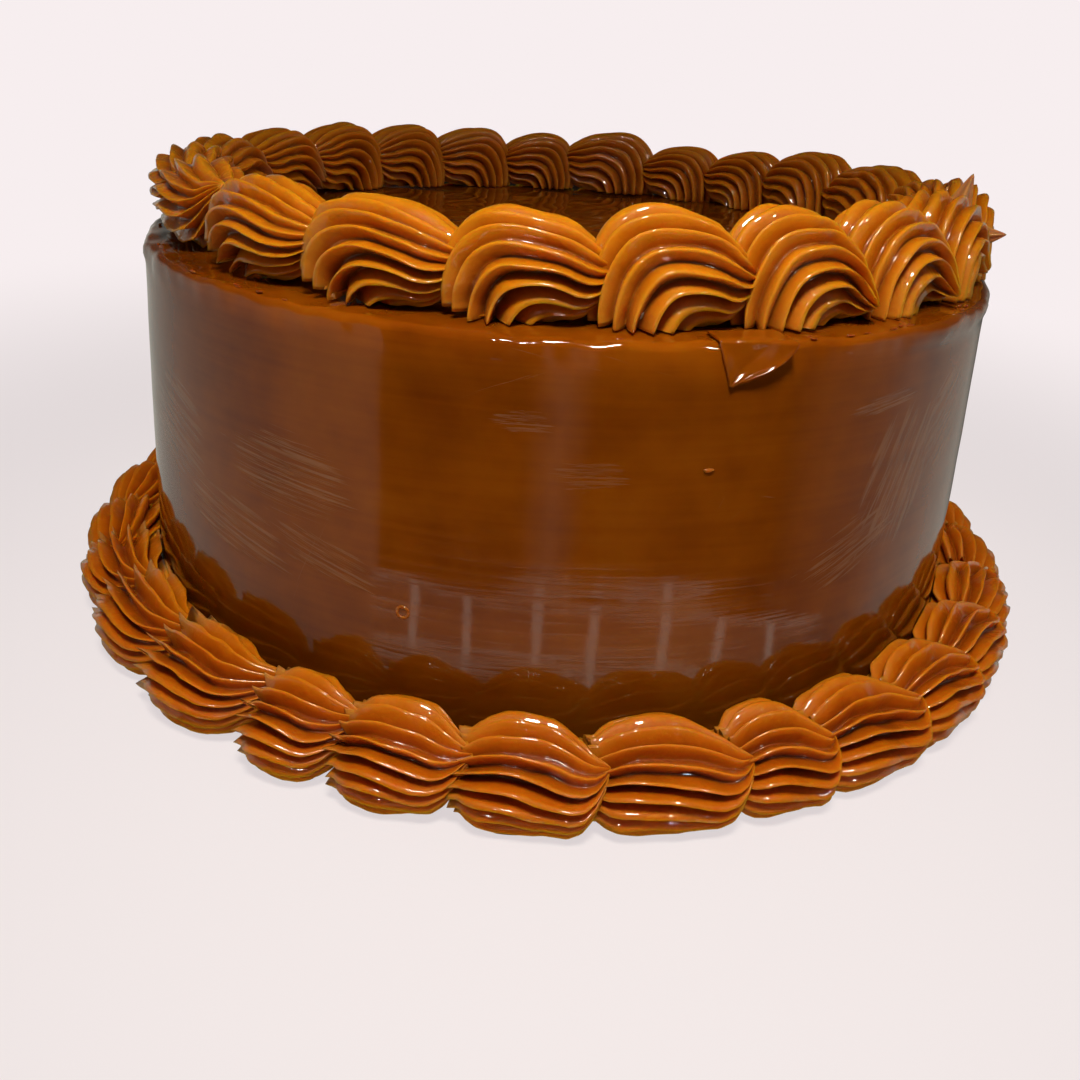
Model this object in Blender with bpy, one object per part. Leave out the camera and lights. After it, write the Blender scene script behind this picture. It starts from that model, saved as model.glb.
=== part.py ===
"""Dulce de leche cake: an iced drum with one border of piped shells on its rim and one round its foot.

The origin is the centre of the flat underside and +Z is up. The front of the cake faces -Y. Angles are
measured from +X, counter-clockwise from above, which is also the way both borders were piped.
"""
import math

import bmesh
import bpy
from mathutils import Vector

MM = 0.001

# Iced drum
drumHeight = 99.7 * MM
rimRadius = 112.6 * MM
footRadius = 114.9 * MM
rimRounding = 2.6 * MM
rimLip = 1.3 * MM
rimLipAngle = 322.0
rimLipSpread = 26.0
drumSides = 64

# Paste dragged over the rim, below one of the front shells
flapAngle = 287.0
flapWidth = 11.0 * MM
flapDrop = 9.5 * MM
flapLean = -3.4 * MM
flapThickness = 1.6 * MM

# Gap kept between pieces that touch
seam = 0.3 * MM

# Border on the rim: where each shell starts, in degrees, and how high it is piped. The ring runs
# nearer the edge at the two sides than at the front and back.
topRing = 96.9 * MM
sidewaysShift = 4.0 * MM
topHalfWidth = 11.6 * MM
topSwirl = -0.6
topStarts = [217.3, 238.3, 256.5, 273.0, 289.4, 306.2, 323.1, 339.0, 354.0, 7.3, 27.0,
             42.9, 57.3, 72.1, 89.4, 103.7, 119.1, 134.0, 149.9, 167.7, 185.5, 201.5]
topHeights = [22.0, 21.8, 22.4, 24.4, 24.4, 24.6, 25.2, 25.6, 22.0, 22.4, 23.0,
              20.0, 19.2, 22.0, 19.8, 21.0, 21.6, 22.2, 21.4, 21.4, 22.0, 22.0]

# Border round the foot: where the front shells start, in degrees. The others are evenly spread.
baseRing = 122.6 * MM
baseHalfWidth = 13.0 * MM
baseHeight = 23.8 * MM
baseSwirl = 0.5
baseStarts = [202.2, 214.3, 228.3, 242.5, 252.2, 263.6, 276.0, 289.6, 299.3, 312.1]
baseShells = 30

# Shape that all piped shells share: ridges fan out from the tail and curl under the head.
# Lengths are shares of the distance from one shell to the next, depths are shares of the height.
shownRidges = 9
ridgeTurn = math.radians(20.0)
ridgeDepth = 0.16
ringPlaces = (0.12, 0.36, 0.62, 0.86)
noseReach = 0.02
tailReach = 0.16
centreHeight = 0.44
undercut = 2.2
curlAngle = math.radians(52.0)


def material(name, colour, roughness):
    made = bpy.data.materials.new(name)
    made.use_nodes = True
    shader = made.node_tree.nodes["Principled BSDF"]
    shader.inputs["Base Color"].default_value = (*colour, 1.0)
    shader.inputs["Roughness"].default_value = roughness
    shader.inputs["Metallic"].default_value = 0.0
    return made


def named(name, mesh, finish):
    made = bpy.data.objects.new(name, mesh)
    bpy.context.scene.collection.objects.link(made)
    made.data.materials.append(finish)
    return made


def fanPoint(along, turn):
    """A point of the unit sphere, on the circle with this turn through the tail pole and the curl pole."""
    tail = Vector((1.0, 0.0, 0.0))
    curl = Vector((-math.cos(curlAngle), 0.0, -math.sin(curlAngle)))
    middle = (tail + curl) / 2
    chord = (tail - curl).normalized()
    half = (tail - curl).length / 2
    up = -middle.normalized()
    side = chord.cross(up)
    across = math.cos(turn) * up + math.sin(turn) * side
    sunk = middle.length * math.cos(turn)
    centre = middle + sunk * across
    radius = math.hypot(half, sunk)
    first = math.atan2(-sunk, half)
    angle = first + (math.pi - 2 * first) * along
    return centre + radius * (math.cos(angle) * chord + math.sin(angle) * across)


def taper(along):
    """Girth of a shell from its nose, 0, to its tail, 1: 1 where it is fullest."""
    nose, tail = 0.42, 0.80
    full = nose / (nose + tail)
    along = min(max(along, 0.0), 1.0)
    return along ** nose * (1 - along) ** tail / (full ** nose * (1 - full) ** tail)


def shellPoint(along, turn, crest, length, halfWidth, height, ring):
    """A point of a shell in its own frame: X towards the tail, -Y outwards, Z up; crest is 1, groove 0."""
    on = fanPoint(along, turn)
    run = (1 + on.x) / 2
    across = math.hypot(on.y, on.z) or 1.0
    girth = taper(run)
    fade = math.sin(math.pi * min(1.0, 0.06 + along)) ** 0.45
    deep = ridgeDepth * height * fade
    centre = height * centreHeight
    reach = undercut * centre if on.z < 0 else height - centre
    point = Vector((
        length * (run - 0.5),
        halfWidth * girth * on.y / across,
        centre + reach * girth * on.z / across))
    point -= Vector((0.8 * on.x, on.y, on.z)).normalized() * deep * (1 - crest)
    point.y += point.x ** 2 / (2 * ring)
    return point


def fanMesh(length, halfWidth, height, ring, swirl):
    """A closed ridged shell, with one vertex for each ridge and each groove on every ring."""
    turns = [ridgeTurn * (step - shownRidges) / 2 for step in range(2 * shownRidges + 1)]
    sizes = (length, halfWidth, height, ring)
    mesh = bmesh.new()
    tail = mesh.verts.new(shellPoint(0.0, 0.0, 1, *sizes))
    curl = mesh.verts.new(shellPoint(1.0, 0.0, 1, *sizes))
    rings = []
    for along in ringPlaces:
        twist = swirl * (along - 0.5)
        loop = [shellPoint(along, turn + twist, step % 2, *sizes) for step, turn in enumerate(turns)]
        loop.append(shellPoint(along, math.pi, 1, *sizes))
        rings.append([mesh.verts.new(point) for point in loop])
    for side in range(len(rings[0])):
        after = (side + 1) % len(rings[0])
        mesh.faces.new((tail, rings[0][side], rings[0][after]))
        mesh.faces.new((curl, rings[-1][after], rings[-1][side]))
        for one, two in zip(rings, rings[1:]):
            mesh.faces.new((one[side], two[side], two[after], one[after]))
    bmesh.ops.triangulate(mesh, faces=mesh.faces)
    bmesh.ops.recalc_face_normals(mesh, faces=mesh.faces)
    return mesh


def trim(mesh, point, normal):
    """Cuts off what lies beyond the plane, on its normal's side, and closes the cut with one flat face."""
    cut = bmesh.ops.bisect_plane(
        mesh, geom=mesh.verts[:] + mesh.edges[:] + mesh.faces[:], dist=1e-7,
        plane_co=point, plane_no=normal, clear_outer=True)
    edges = [item for item in cut["geom_cut"] if isinstance(item, bmesh.types.BMEdge)]
    bmesh.ops.holes_fill(mesh, edges=[edge for edge in edges if edge.is_boundary], sides=0)


def shell(name, finish, start, end, ring, ground, halfWidth, height, swirl, wall=None):
    """One piped shell between two angles, cut where it meets its neighbours and what it lies on."""
    middle = math.radians((start + end) / 2)
    half = math.radians(end - start) / 2
    pitch = 2 * half * ring
    length = pitch * (1 + noseReach + tailReach)
    mesh = fanMesh(length, halfWidth, height, ring, swirl)
    shift = pitch * (tailReach - noseReach) / 2
    bmesh.ops.translate(mesh, verts=mesh.verts, vec=(shift, 0.0, 0.0))
    axis = Vector((0.0, ring, 0.0))
    ahead = Vector((math.cos(half), math.sin(half), 0.0))
    behind = Vector((-math.cos(half), math.sin(half), 0.0))
    trim(mesh, (0.0, 0.0, 0.0), (0.0, 0.0, -1.0))
    trim(mesh, axis - ahead * seam / 2, ahead)
    trim(mesh, axis - behind * seam / 2, behind)
    if wall:
        distance, lean = wall
        trim(mesh, (0.0, ring - distance - seam, 0.0), (0.0, math.cos(lean), math.sin(lean)))
    bmesh.ops.triangulate(mesh, faces=mesh.faces)
    bmesh.ops.recalc_face_normals(mesh, faces=mesh.faces)
    data = bpy.data.meshes.new(name)
    mesh.to_mesh(data)
    mesh.free()
    made = named(name, data, finish)
    made.location = (ring * math.cos(middle), ring * math.sin(middle), ground)
    made.rotation_euler.z = middle + math.pi / 2
    return made


def rimLift(angle):
    """How far the scraper pushed the rim up at an angle: a low lip on the right of the front."""
    away = (angle - rimLipAngle + 180.0) % 360.0 - 180.0
    return rimLip * math.exp(-(away / rimLipSpread) ** 2)


def flapCutter():
    """The torn flap of paste, thick where it leaves the rim and drawn down to a point on the wall."""
    top = drumHeight - rimRounding
    low = top - flapDrop
    lean = (footRadius - rimRadius) / (drumHeight - rimRounding)
    skin = [(-flapWidth / 2, top, 0.25), (flapWidth / 2, top + 0.6 * MM, 1.0),
            (0.1 * flapWidth, top - 0.55 * flapDrop, 0.9), (flapLean, low, 0.3)]
    mesh = bmesh.new()
    rows = []
    for depth in (-flapThickness, flapThickness):
        row = []
        for x, z, share in skin:
            out = rimRadius + (top - z) * lean + (depth * share if depth > 0 else depth)
            row.append(mesh.verts.new((x, -math.sqrt(out ** 2 - x ** 2), z)))
        rows.append(row)
    inner, outer = rows
    mesh.faces.new(inner)
    mesh.faces.new(outer)
    for one in range(4):
        two = (one + 1) % 4
        mesh.faces.new((inner[one], inner[two], outer[two], outer[one]))
    bmesh.ops.triangulate(mesh, faces=mesh.faces)
    bmesh.ops.recalc_face_normals(mesh, faces=mesh.faces)
    data = bpy.data.meshes.new("flap_shape")
    mesh.to_mesh(data)
    mesh.free()
    made = bpy.data.objects.new("flap_shape", data)
    bpy.context.scene.collection.objects.link(made)
    made.rotation_euler.z = math.radians(flapAngle + 90.0)
    made.hide_render = True
    made.display_type = "WIRE"
    return made


def drum():
    """The iced cake: a turned profile with a soft rim, a lip pushed up along part of it, and the flap."""
    outline = [
        (0.0, 0.0), (footRadius - 0.8 * MM, 0.0), (footRadius, 0.8 * MM),
        (rimRadius, drumHeight - rimRounding),
        (rimRadius - 0.3 * rimRounding, drumHeight - 0.3 * rimRounding),
        (rimRadius - rimRounding, drumHeight), (0.0, drumHeight)]
    mesh = bmesh.new()
    profile = [mesh.verts.new((radius, 0.0, z)) for radius, z in outline]
    edges = [mesh.edges.new(pair) for pair in zip(profile, profile[1:])]
    bmesh.ops.spin(mesh, geom=profile + edges, cent=(0.0, 0.0, 0.0), axis=(0.0, 0.0, 1.0),
                   angle=2 * math.pi, steps=drumSides, use_merge=True)
    bmesh.ops.remove_doubles(mesh, verts=mesh.verts, dist=1e-6)
    shoulder = [vert for vert in mesh.verts
                if drumHeight - rimRounding < vert.co.z < drumHeight - 1e-6]
    for vert in shoulder:
        vert.co.z += rimLift(math.degrees(math.atan2(vert.co.y, vert.co.x)))
    bmesh.ops.triangulate(mesh, faces=mesh.faces)
    bmesh.ops.recalc_face_normals(mesh, faces=mesh.faces)
    data = bpy.data.meshes.new("cake")
    mesh.to_mesh(data)
    mesh.free()
    made = named("cake", data, material("icing", (0.19, 0.055, 0.006), 0.12))
    union = made.modifiers.new("flap", "BOOLEAN")
    union.operation = "UNION"
    union.object = flapCutter()
    return made


def topBorder():
    for index, start in enumerate(topStarts):
        end = topStarts[(index + 1) % len(topStarts)]
        end += 360.0 * (end < start)
        ring = topRing + sidewaysShift * abs(math.cos(math.radians(start + end) / 2)) ** 5
        finish = material(f"top_paste_{index + 1:02d}", (0.52, 0.17, 0.015), 0.2)
        shell(f"top_shell_{index + 1:02d}", finish, start, end, ring, drumHeight + seam,
              topHalfWidth, topHeights[index] * MM, topSwirl)


def baseBorder():
    last = baseStarts[-1]
    rest = baseShells - len(baseStarts) + 1
    step = (baseStarts[0] + 360.0 - last) / rest
    starts = baseStarts + [last + step * count for count in range(1, rest)]
    starts.append(baseStarts[0] + 360.0)
    lean = math.atan2(footRadius - rimRadius, drumHeight)
    for index, (start, end) in enumerate(zip(starts, starts[1:])):
        finish = material(f"base_paste_{index + 1:02d}", (0.42, 0.13, 0.012), 0.2)
        shell(f"base_shell_{index + 1:02d}", finish, start, end, baseRing, 0.0,
              baseHalfWidth, baseHeight, baseSwirl, wall=(footRadius, lean))


def main():
    for leftover in list(bpy.data.objects):
        bpy.data.objects.remove(leftover, do_unlink=True)
    drum()
    topBorder()
    baseBorder()


main()
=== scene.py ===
# Dulce de leche cake: finish of the iced drum and of its two borders of piped shells.
# Lengths are in metres. Angles are in degrees, counter-clockwise from above, starting at +X.
import math
import bpy
import numpy as np
from mathutils import Matrix, Vector


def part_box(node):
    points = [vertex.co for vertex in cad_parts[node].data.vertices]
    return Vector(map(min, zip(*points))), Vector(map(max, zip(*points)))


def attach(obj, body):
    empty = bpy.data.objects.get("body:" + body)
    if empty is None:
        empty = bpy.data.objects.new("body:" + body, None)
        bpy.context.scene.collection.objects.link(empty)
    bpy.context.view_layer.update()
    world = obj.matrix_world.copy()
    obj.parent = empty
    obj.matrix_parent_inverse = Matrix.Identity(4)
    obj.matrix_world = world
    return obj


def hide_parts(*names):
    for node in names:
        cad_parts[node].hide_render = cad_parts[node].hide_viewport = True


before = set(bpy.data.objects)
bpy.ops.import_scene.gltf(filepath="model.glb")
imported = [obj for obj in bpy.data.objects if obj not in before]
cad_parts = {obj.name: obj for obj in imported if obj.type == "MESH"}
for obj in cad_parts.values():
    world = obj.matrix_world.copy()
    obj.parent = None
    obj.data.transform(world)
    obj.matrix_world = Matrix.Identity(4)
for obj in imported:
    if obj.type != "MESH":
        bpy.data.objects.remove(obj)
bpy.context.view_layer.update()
mm = 0.001
bpy.ops.object.select_all(action="DESELECT")


# small helpers

def deselectAll():
    bpy.ops.object.select_all(action="DESELECT")


def mode(name, choice=None):
    bpy.ops.object.mode_set(mode=name)
    if choice:
        bpy.ops.mesh.select_all(action=choice)


def newest(name):
    made = bpy.context.object
    made.name = name
    made.data.name = name
    return made


def newBall(name, columns, rows):
    # with each point's share of the way from pole to pole, and its turn round them
    bpy.ops.mesh.primitive_uv_sphere_add(segments=columns, ring_count=rows, radius=1.0)
    piece = newest(name)
    points = readPoints(piece)
    return piece, np.arccos(np.clip(points[:, 2], -1, 1)) / math.pi, np.arctan2(points[:, 1], points[:, 0])


def readPoints(piece):
    points = np.empty(len(piece.data.vertices) * 3)
    piece.data.vertices.foreach_get("co", points)
    return points.reshape(-1, 3)


def writePoints(piece, points):
    piece.data.vertices.foreach_set("co", points.astype(np.float32).ravel())
    piece.data.update()


def writeTones(piece, groove, tip):
    # 0 in a groove and 1 on a ridge, and 1 at a pale petal tip; the materials paint shade in the grooves and light
    # on the tips from these
    for name, values in (("groove", groove), ("tip", tip)):
        tone = piece.data.attributes.new(name, "FLOAT", "POINT")
        tone.data.foreach_set("value", values.astype(np.float32))


def smoothStep(low, high, value):
    share = np.clip((value - low) / (high - low), 0.0, 1.0)
    return share * share * (3 - 2 * share)


def wobble(points, size, rng, waves=7):
    # soft unevenness between about -1 and 1, with lumps of the given size
    total = np.zeros(len(points))
    for _ in range(waves):
        way = rng.normal(size=3)
        way *= 2 * math.pi / (size * rng.uniform(0.7, 1.6)) / np.linalg.norm(way)
        total += np.sin(points @ way + rng.uniform(0, 2 * math.pi))
    return total / math.sqrt(waves)


def finishPiece(piece, material, slot, *nodes):
    piece.data.materials.append(material)
    mode("EDIT", "SELECT")
    bpy.ops.mesh.normals_make_consistent(inside=False)
    bpy.ops.mesh.select_all(action="DESELECT")
    mode("OBJECT")
    bpy.ops.object.shade_smooth()
    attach(piece, "root")
    if nodes:
        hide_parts(*nodes)
    deselectAll()


# camera at the photo's viewing angle

viewpoint = {
    "place": (0.0, -0.29754, 0.15126),
    "pitch": 20.63,          # down from level
    "yaw": -0.78,
    "roll": -3.49,
    "lens": 34.72,           # for a 36 mm sensor
    "shift": -0.10185,
}


def placeCamera():
    pitch, yaw, roll = (math.radians(viewpoint[key]) for key in ("pitch", "yaw", "roll"))
    forward = Vector((math.sin(yaw) * math.cos(pitch), math.cos(yaw) * math.cos(pitch), -math.sin(pitch)))
    levelRight = forward.cross(Vector((0, 0, 1))).normalized()
    levelDown = forward.cross(levelRight)
    right = math.cos(roll) * levelRight + math.sin(roll) * levelDown
    up = math.sin(roll) * levelRight - math.cos(roll) * levelDown
    turn = Matrix((right, up, -forward)).transposed()
    bpy.ops.object.camera_add(location=viewpoint["place"], rotation=turn.to_euler())
    camera = newest("camera")
    camera.data.sensor_width = 36
    camera.data.lens = viewpoint["lens"]
    camera.data.shift_y = viewpoint["shift"]
    camera.data.clip_start = 0.005
    bpy.context.scene.camera = camera
    deselectAll()


placeCamera()
print("camera placed")


# node helpers. An input is given either the socket that feeds it or a plain value

def feed(tree, node, inputs):
    for key, given in inputs.items():
        if isinstance(given, bpy.types.NodeSocket):
            tree.links.new(given, node.inputs[key])
        else:
            node.inputs[key].default_value = given


def nodeAt(tree, kind, inputs=None, **settings):
    node = tree.nodes.new("ShaderNode" + kind)
    for key, value in settings.items():
        setattr(node, key, value)
    feed(tree, node, inputs or {})
    return node


def layOut(tree):
    # columns from left to right, each node behind all that feed it
    columns, waiting = {}, list(tree.nodes)
    while waiting:
        node = waiting.pop(0)
        feeding = [link.from_node.name for link in tree.links if link.to_node == node]
        if all(name in columns for name in feeding):
            columns[node.name] = 1 + max((columns[name] for name in feeding), default=-1)
            row = list(columns.values()).count(columns[node.name])
            node.location = (260 * columns[node.name], -320 * row)
        else:
            waiting.append(node)


def combine(tree, operation, *given):
    return nodeAt(tree, "Math", dict(enumerate(given)), operation=operation).outputs["Value"]


def rescale(tree, given, low, high, toLow=0.0, toHigh=1.0, kind="LINEAR"):
    inputs = {"Value": given, "From Min": low, "From Max": high, "To Min": toLow, "To Max": toHigh}
    return nodeAt(tree, "MapRange", inputs, interpolation_type=kind).outputs["Result"]


def lengthOf(tree, vector):
    return nodeAt(tree, "VectorMath", {0: vector}, operation="LENGTH").outputs["Value"]


def noiseAt(tree, vector, scale, detail, **inputs):
    given = {"Vector": vector, "Scale": scale, "Detail": detail, **inputs}
    return nodeAt(tree, "TexNoise", given).outputs["Fac"]


def ramp(tree, given, stops):
    node = nodeAt(tree, "ValToRGB", {"Fac": given})
    elements = node.color_ramp.elements
    elements[0].position, elements[0].color = stops[0][0], (*stops[0][1], 1)
    elements[1].position, elements[1].color = stops[-1][0], (*stops[-1][1], 1)
    for position, colour in stops[1:-1]:
        elements.new(position).color = (*colour, 1)
    return node.outputs["Color"]


def mixColours(tree, share, first, second):
    inputs = {"Factor": share, "A": first, "B": (*second, 1)}
    return nodeAt(tree, "Mix", inputs, data_type="RGBA").outputs["Result"]


def bumpAt(tree, height, distance, **inputs):
    given = {"Strength": 1.0, "Distance": distance, "Height": height, **inputs}
    return nodeAt(tree, "Bump", given).outputs["Normal"]


def objectPlace(tree):
    return nodeAt(tree, "TexCoord").outputs["Object"]


def newMaterial(name):
    material = bpy.data.materials.new(name)
    material.use_nodes = True
    tree = material.node_tree
    return material, tree, tree.nodes["Principled BSDF"]


def newGroup(name, inputs, output):
    tree = bpy.data.node_groups.new(name, "ShaderNodeTree")
    for label, value in inputs.items():
        socket = tree.interface.new_socket(name=label, in_out="INPUT", socket_type="NodeSocketFloat")
        socket.default_value = value
    tree.interface.new_socket(name=output, in_out="OUTPUT", socket_type="NodeSocketFloat")
    return tree, tree.nodes.new("NodeGroupInput").outputs, tree.nodes.new("NodeGroupOutput")


def placeGroup(tree, group, **values):
    node = nodeAt(tree, "Group", node_tree=group)
    feed(tree, node, {label.replace("_", " "): value for label, value in values.items()})
    return node.outputs[0]


pasteDetail = {
    "wideDetail": 3,
    "fineDetail": 4,
    "contrast": (0.32, 0.68),  # the clouds are stretched between these tones
    "grainDetail": 3,
    "pitEdge": (0.06, 0.22),   # a pit's floor and brim, as distances from its middle
}


# cloudy tone: where the paste was worked it is a little lighter or deeper
def cloudyTone():
    tree, given, result = newGroup("cloudyTone", {"Scale": 60.0, "Fine Scale": 400.0, "Fine Share": 0.3}, "Tone")
    place = objectPlace(tree)
    wide = noiseAt(tree, place, given["Scale"], pasteDetail["wideDetail"])
    fine = noiseAt(tree, place, given["Fine Scale"], pasteDetail["fineDetail"])
    mixed = nodeAt(tree, "Mix", {"Factor": given["Fine Share"], "A": wide, "B": fine})
    feed(tree, result, {"Tone": rescale(tree, mixed.outputs["Result"], *pasteDetail["contrast"])})
    layOut(tree)
    return tree


# fine pits and grains of the paste, as heights
def pasteGrain():
    tree, given, result = newGroup(
        "pasteGrain", {"Grain Scale": 1600.0, "Pit Scale": 500.0, "Pit Depth": 0.5}, "Height")
    place = objectPlace(tree)
    grain = noiseAt(tree, place, given["Grain Scale"], pasteDetail["grainDetail"])
    pits = nodeAt(tree, "TexVoronoi", {"Vector": place, "Scale": given["Pit Scale"]})
    hollow = rescale(tree, pits.outputs["Distance"], *pasteDetail["pitEdge"], -1.0, 0.0)
    deep = combine(tree, "MULTIPLY", hollow, given["Pit Depth"])
    feed(tree, result, {"Height": combine(tree, "ADD", grain, deep)})
    layOut(tree)
    return tree


cloudyToneTree = cloudyTone()
pasteGrainTree = pasteGrain()


# piped paste: darker in the grooves, painted shade, and lighter on the crests, painted light; the petal tips
# paler, partly drier paste and partly painted light from behind

pipedFinish = {
    "deep": (0.20, 0.034, 0.0006),
    "middle": (0.53, 0.138, 0.0015),
    "crest": (0.65, 0.222, 0.0030),
    "stops": (0.0, 0.55, 1.0),
    # pale tone of the petal tips: partly drier paste, partly painted light from behind
    "dryAndLitTip": (0.50, 0.305, 0.1750),
    "cloudShare": 0.24,        # how much the clouds lift the tone of a ridge
    "roughness": (0.38, 0.55),
    "filmEdge": (0.62, 0.80),  # where the wet film starts and is full, before its wetness is taken off
    "filmHeight": 1.6,         # its unevenness against that of the grain
    "grainHeight": 0.00006,
    "grainStrength": 0.8,
    "sockets": {"Coat Roughness": 0.06, "Specular IOR Level": 0.11, "Subsurface Weight": 0.35,
                "Subsurface Radius": (0.0040, 0.0012, 0.0003), "Subsurface Scale": 1.0},
}


def toned(colour, gain):
    return tuple(part * share for part, share in zip(colour, gain))


def pipedPaste(name, gain, wetness):
    finish = pipedFinish
    material, tree, surface = newMaterial(name)
    groove = nodeAt(tree, "Attribute", attribute_name="groove").outputs["Fac"]
    cloud = placeGroup(tree, cloudyToneTree, Scale=70.0, Fine_Scale=520.0, Fine_Share=0.3)
    # the ramp runs from the deep tone in the grooves, painted shade, to the crest tone on the ridges, painted
    # light
    shade = combine(tree, "MULTIPLY_ADD", cloud, finish["cloudShare"], groove)
    tones = [toned(finish[key], gain) for key in ("deep", "middle", "crest")]
    colours = ramp(tree, shade, list(zip(finish["stops"], tones)))
    tip = nodeAt(tree, "Attribute", attribute_name="tip").outputs["Fac"]
    withPaleTips = mixColours(tree, tip, colours, finish["dryAndLitTip"])
    gloss = rescale(tree, cloud, 0.0, 1.0, *finish["roughness"])
    film = placeGroup(tree, cloudyToneTree, Scale=230.0, Fine_Scale=900.0, Fine_Share=0.4)
    wet = rescale(tree, film, *(edge - wetness for edge in finish["filmEdge"]))
    grain = placeGroup(tree, pasteGrainTree, Grain_Scale=900.0, Pit_Scale=420.0, Pit_Depth=0.5)
    uneven = combine(tree, "MULTIPLY_ADD", film, finish["filmHeight"], grain)
    bump = bumpAt(tree, uneven, finish["grainHeight"], Strength=finish["grainStrength"])
    feed(tree, surface, {
        "Base Color": withPaleTips, "Roughness": gloss, "Coat Weight": wet, "Normal": bump, **finish["sockets"]})
    layOut(tree)
    return material


topPaste = pipedPaste("topPaste", (1.0, 1.0, 1.0), 0.32)
basePaste = pipedPaste("basePaste", (0.87, 0.70, 0.7), 0.42)
print("paste ready")


# spread icing: dark and glossy, drawn round the cake with a scraper

drumRadius = 113.7 * mm        # at half height

icingFinish = {
    "deep": (0.118, 0.022, 0.0004),
    "middle": (0.185, 0.041, 0.0006),
    "light": (0.245, 0.064, 0.0016),
    "stops": (0.15, 0.55, 1.0),
    "streaks": (9, 9, 260),    # long round the cake, narrow in height
    "streakScale": 2.2,
    "cloudShare": 0.6,
    "streakGloss": (0.35, 0.70),
    "roughness": (0.045, 0.10),
    "paintedFootShade": 0.54,         # painted shade on the lowest strip of the wall, as if shaded by the base border
    "paintedShadeEdge": (14 * mm, 40 * mm),
    "paintedRimLight": 1.55,          # painted light along the front of the rim
    "rimReach": (101 * mm, 108 * mm),
    "rimLevel": (90 * mm, 98.5 * mm),
    "rimFront": (-60 * mm, -98 * mm),
    "streakHeight": 2.0,       # streaks against grain
    "grainHeight": 0.00001,
    # pale tone of the scrape marks: partly the roughened skin, partly a painted reflection
    "scrapeSheenTone": (0.30, 0.165, 0.085),
    "scrapedHeight": 0.00006,
    "degreeWidth": 1.985,      # of the wall, in mm
    "patchEdge": (0.55, 1.15),
    "patchRaise": (0.16, -0.10),
    "lineStretch": (0.7, 1.9),
    "lineEdge": (0.63, 0.72),
    "lineStrength": 0.65,
    # scraped patches: degrees from the front, height in mm, half width in degrees, half height in mm, slope,
    # lines across and strength
    "patches": [
        (-29, 63, 11, 11, -4, 9, 0.55), (-38, 46, 12, 9, -10, 6, 0.50), (-24, 47, 9, 6, -14, 4, 0.45),
        (-51, 62, 10, 16, -16, 7, 0.40), (-3, 83, 4, 3, 0, 3, 0.35), (4, 73, 5, 4, 0, 4, 0.25),
        (38, 84, 7, 2.5, 6, 3, 0.50), (43, 66, 11, 17, 66, 6, 0.45), (36, 52, 9, 8, 22, 5, 0.45),
        (53, 75, 8, 15, 40, 7, 0.40), (92, 60, 12, 12, -5, 7, 0.45), (131, 50, 14, 9, 12, 6, 0.45),
        (176, 66, 13, 12, -6, 8, 0.45), (-142, 55, 13, 12, 9, 6, 0.45), (-96, 68, 12, 10, -9, 7, 0.45),
    ],
    "sockets": {"Subsurface Weight": 0.15, "Subsurface Radius": (0.0030, 0.0009, 0.0002), "Subsurface Scale": 1.0},
}


def scrapeMarksAndSheen(tree):
    # where the scraper dragged, the skin is roughened in fine ragged lines along its path, and the lines are
    # painted paler as a painted reflection
    finish = icingFinish
    onWall = nodeAt(tree, "UVMap", uv_map="wall").outputs["UV"]
    longways, crossways = finish["lineStretch"]
    total = None
    for turn, level, across, high, slope, lines, strength in finish["patches"]:
        patch = {
            "Vector": onWall, "Location": (math.radians(turn) * drumRadius, level * mm, 0),
            "Rotation": (0, 0, math.radians(slope)), "Scale": (across * mm * finish["degreeWidth"], high * mm, 1)}
        local = nodeAt(tree, "Mapping", patch, vector_type="TEXTURE").outputs["Vector"]
        edge = lengthOf(tree, local)
        drawn = {0: local, 1: (longways, lines * crossways, 1)}
        drawn = nodeAt(tree, "VectorMath", drawn, operation="MULTIPLY")
        ragged = noiseAt(tree, drawn.outputs["Vector"], 1.0, 4, Roughness=0.62, Distortion=1.1)
        inside = rescale(tree, edge, *finish["patchEdge"], *finish["patchRaise"], "SMOOTHSTEP")
        raised = combine(tree, "ADD", inside, ragged)
        line = rescale(tree, raised, *finish["lineEdge"], 0.0, strength * finish["lineStrength"])
        total = line if total is None else combine(tree, "MAXIMUM", total, line)
    return total


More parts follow.
